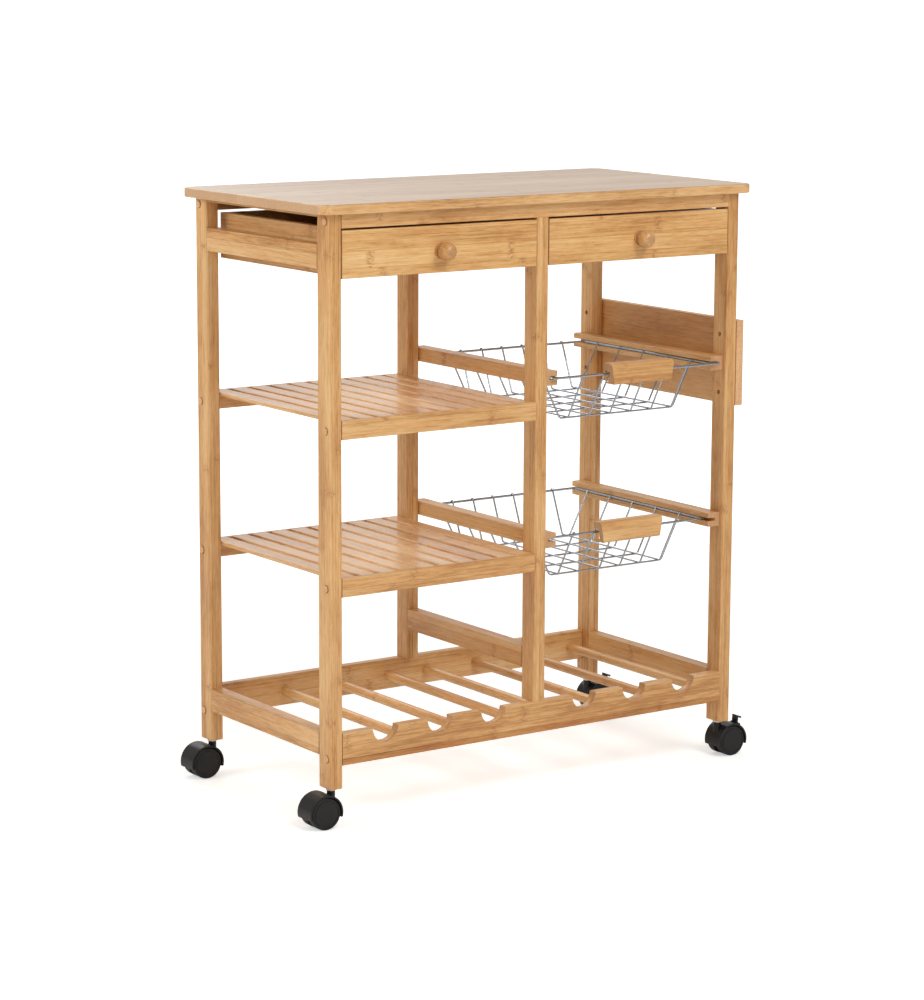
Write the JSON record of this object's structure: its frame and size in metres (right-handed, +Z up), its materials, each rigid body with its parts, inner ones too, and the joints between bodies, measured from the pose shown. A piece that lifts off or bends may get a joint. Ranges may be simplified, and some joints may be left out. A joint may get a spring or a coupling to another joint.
{
  "type": "rolling utility cart",
  "caption": "Slim timber kitchen cart with a flat worktop, shallow drawers, slatted shelves, pull-out wire baskets and a low bottle rack, rolling on swivel casters.",
  "frame": {"origin": "on the floor, in the middle of the footprint including the drawer knobs", "axes": "+Z up, the drawers and baskets open towards -Y, +X to the right seen from the front"},
  "size_m": [0.699, 0.357, 0.776],
  "materials": {
    "bamboo_top": "clear-lacquered edge-laminated bamboo",
    "bamboo_frame": "clear-lacquered bamboo",
    "bamboo_slat": "clear-lacquered bamboo",
    "bamboo_guide": "clear-lacquered bamboo",
    "bamboo_dowel": "clear-lacquered turned bamboo",
    "bamboo_grip": "clear-lacquered bamboo",
    "bamboo_drawer_front": "clear-lacquered bamboo",
    "bamboo_drawer_box": "clear-lacquered bamboo",
    "chrome_wire": "bright chrome plate",
    "pin_steel": "zinc-plated steel",
    "screw_steel": "zinc-plated steel",
    "caster_plastic": "black moulded nylon",
    "wheel_plastic": "black moulded nylon"
  },
  "bodies": {
    "chassis": {"leg_front_left": "bamboo_frame", "leg_front_right": "bamboo_frame", "leg_front_middle": "bamboo_frame", "leg_rear_left": "bamboo_frame", "leg_rear_right": "bamboo_frame", "leg_rear_middle": "bamboo_frame", "tabletop": "bamboo_top", "apron_front": "bamboo_frame", "apron_rear": "bamboo_frame", "top_battens": "bamboo_frame", "drawer_rails": "bamboo_frame", "drawer_guides": "bamboo_guide", "shelf_upper_front_rail": "bamboo_frame", "shelf_upper_rear_rail": "bamboo_frame", "shelf_lower_front_rail": "bamboo_frame", "shelf_lower_rear_rail": "bamboo_frame", "shelf_upper_slats": "bamboo_slat", "shelf_lower_slats": "bamboo_slat", "rack_front_rail": "bamboo_frame", "rack_rear_rail": "bamboo_frame", "rack_side_rails": "bamboo_frame", "rack_middle_stretcher": "bamboo_frame", "rack_dowels": "bamboo_dowel", "side_board": "bamboo_frame", "board_screws": "screw_steel", "leg_plugs": "bamboo_dowel", "basket_runners": "bamboo_guide", "caster_sockets": "pin_steel"},
    "drawer_left": {"drawer_left_front": "bamboo_drawer_front", "drawer_left_sides": "bamboo_drawer_box", "drawer_left_back": "bamboo_drawer_box", "drawer_left_bottom": "bamboo_drawer_box", "drawer_left_knob": "bamboo_grip"},
    "drawer_right": {"drawer_right_front": "bamboo_drawer_front", "drawer_right_sides": "bamboo_drawer_box", "drawer_right_back": "bamboo_drawer_box", "drawer_right_bottom": "bamboo_drawer_box", "drawer_right_knob": "bamboo_grip"},
    "basket_upper": {"basket_upper_wires": "chrome_wire", "basket_upper_grip": "bamboo_grip"},
    "basket_lower": {"basket_lower_wires": "chrome_wire", "basket_lower_grip": "bamboo_grip"},
    "caster_front_left": {"caster_front_left_hood": "caster_plastic", "caster_front_left_pins": "pin_steel"},
    "caster_front_left_wheel_front": {"caster_front_left_wheel_front": "wheel_plastic"},
    "caster_front_left_wheel_rear": {"caster_front_left_wheel_rear": "wheel_plastic"},
    "caster_rear_left": {"caster_rear_left_hood": "caster_plastic", "caster_rear_left_pins": "pin_steel"},
    "caster_rear_left_wheel_front": {"caster_rear_left_wheel_front": "wheel_plastic"},
    "caster_rear_left_wheel_rear": {"caster_rear_left_wheel_rear": "wheel_plastic"},
    "caster_front_right": {"caster_front_right_hood": "caster_plastic", "caster_front_right_pins": "pin_steel"},
    "caster_front_right_wheel_front": {"caster_front_right_wheel_front": "wheel_plastic"},
    "caster_front_right_wheel_rear": {"caster_front_right_wheel_rear": "wheel_plastic"},
    "caster_front_right_lever": {"caster_front_right_lever": "caster_plastic"},
    "caster_rear_right": {"caster_rear_right_hood": "caster_plastic", "caster_rear_right_pins": "pin_steel"},
    "caster_rear_right_wheel_front": {"caster_rear_right_wheel_front": "wheel_plastic"},
    "caster_rear_right_wheel_rear": {"caster_rear_right_wheel_rear": "wheel_plastic"},
    "caster_rear_right_lever": {"caster_rear_right_lever": "caster_plastic"}
  },
  "joints": [
    {"name": "drawer_left_slide", "type": "slide", "parent": "chassis", "child": "drawer_left", "axis": [0, -1, 0], "range_m": [0, 0.2]},
    {"name": "drawer_right_slide", "type": "slide", "parent": "chassis", "child": "drawer_right", "axis": [0, -1, 0], "range_m": [0, 0.2]},
    {"name": "basket_upper_slide", "type": "slide", "parent": "chassis", "child": "basket_upper", "axis": [0, -1, 0], "range_m": [-0.019, 0.19]},
    {"name": "basket_lower_slide", "type": "slide", "parent": "chassis", "child": "basket_lower", "axis": [0, -1, 0], "range_m": [0, 0.209]},
    {"name": "caster_front_left_swivel", "type": "hinge", "parent": "chassis", "child": "caster_front_left", "pos_m": [-0.31, -0.1405, 0.045], "axis": [0, 0, 1], "continuous": true},
    {"name": "caster_front_left_wheel_front_spin", "type": "hinge", "parent": "caster_front_left", "child": "caster_front_left_wheel_front", "pos_m": [-0.3255, -0.1405, 0.0205], "axis": [0, 1, 0], "continuous": true},
    {"name": "caster_front_left_wheel_rear_spin", "type": "hinge", "parent": "caster_front_left", "child": "caster_front_left_wheel_rear", "pos_m": [-0.3255, -0.1405, 0.0205], "axis": [0, 1, 0], "continuous": true},
    {"name": "caster_rear_left_swivel", "type": "hinge", "parent": "chassis", "child": "caster_rear_left", "pos_m": [-0.31, 0.1525, 0.045], "axis": [0, 0, 1], "continuous": true},
    {"name": "caster_rear_left_wheel_front_spin", "type": "hinge", "parent": "caster_rear_left", "child": "caster_rear_left_wheel_front", "pos_m": [-0.3255, 0.1525, 0.0205], "axis": [0, 1, 0], "continuous": true},
    {"name": "caster_rear_left_wheel_rear_spin", "type": "hinge", "parent": "caster_rear_left", "child": "caster_rear_left_wheel_rear", "pos_m": [-0.3255, 0.1525, 0.0205], "axis": [0, 1, 0], "continuous": true},
    {"name": "caster_front_right_swivel", "type": "hinge", "parent": "chassis", "child": "caster_front_right", "pos_m": [0.31, -0.1405, 0.045], "axis": [0, 0, 1], "continuous": true},
    {"name": "caster_front_right_wheel_front_spin", "type": "hinge", "parent": "caster_front_right", "child": "caster_front_right_wheel_front", "pos_m": [0.3255, -0.1405, 0.0205], "axis": [0, 1, 0], "continuous": true},
    {"name": "caster_front_right_wheel_rear_spin", "type": "hinge", "parent": "caster_front_right", "child": "caster_front_right_wheel_rear", "pos_m": [0.3255, -0.1405, 0.0205], "axis": [0, 1, 0], "continuous": true},
    {"name": "caster_front_right_lever_hinge", "type": "hinge", "parent": "caster_front_right", "child": "caster_front_right_lever", "pos_m": [0.341, -0.1405, 0.0391], "axis": [0, 1, 0], "range_deg": [0, 22]},
    {"name": "caster_rear_right_swivel", "type": "hinge", "parent": "chassis", "child": "caster_rear_right", "pos_m": [0.31, 0.1525, 0.045], "axis": [0, 0, 1], "continuous": true},
    {"name": "caster_rear_right_wheel_front_spin", "type": "hinge", "parent": "caster_rear_right", "child": "caster_rear_right_wheel_front", "pos_m": [0.3255, 0.1525, 0.0205], "axis": [0, 1, 0], "continuous": true},
    {"name": "caster_rear_right_wheel_rear_spin", "type": "hinge", "parent": "caster_rear_right", "child": "caster_rear_right_wheel_rear", "pos_m": [0.3255, 0.1525, 0.0205], "axis": [0, 1, 0], "continuous": true},
    {"name": "caster_rear_right_lever_hinge", "type": "hinge", "parent": "caster_rear_right", "child": "caster_rear_right_lever", "pos_m": [0.341, 0.1525, 0.0391], "axis": [0, 1, 0], "range_deg": [0, 22]}
  ]
}
